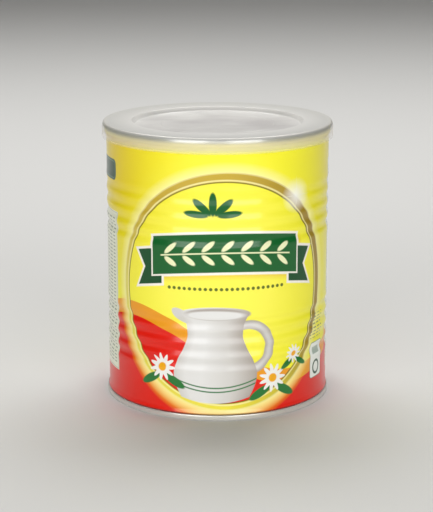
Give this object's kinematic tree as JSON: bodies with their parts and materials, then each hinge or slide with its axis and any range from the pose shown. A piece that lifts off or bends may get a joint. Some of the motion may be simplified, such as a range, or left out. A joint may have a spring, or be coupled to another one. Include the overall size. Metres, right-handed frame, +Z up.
{
  "type": "milk powder tin",
  "caption": "Shut round steel food tin with rolled beads in its wall, a bare seam round its foot, a yellow and red print and a milky push-on plastic lid.",
  "frame": {"origin": "centre of the circle that the tin stands on", "axes": "+Z up along the tin's axis; the front of the print faces -Y, and +X is to the right of somebody who looks at the front"},
  "size_m": [0.1028, 0.1028, 0.1238],
  "materials": {
    "printed_tinplate": "glossy lacquered print in yellow, red, orange, gold and green on steel sheet",
    "bare_tinplate": "bright lacquered tinplate",
    "foil": "soft, lightly wrinkled foil",
    "lid_plastic": "milky see-through polyethylene, satin"
  },
  "bodies": {
    "root": {"tin_body": "printed_tinplate", "base_end": "bare_tinplate", "top_ring": "bare_tinplate", "foil_seal": "foil", "lid": "lid_plastic"}
  },
  "joints": []
}
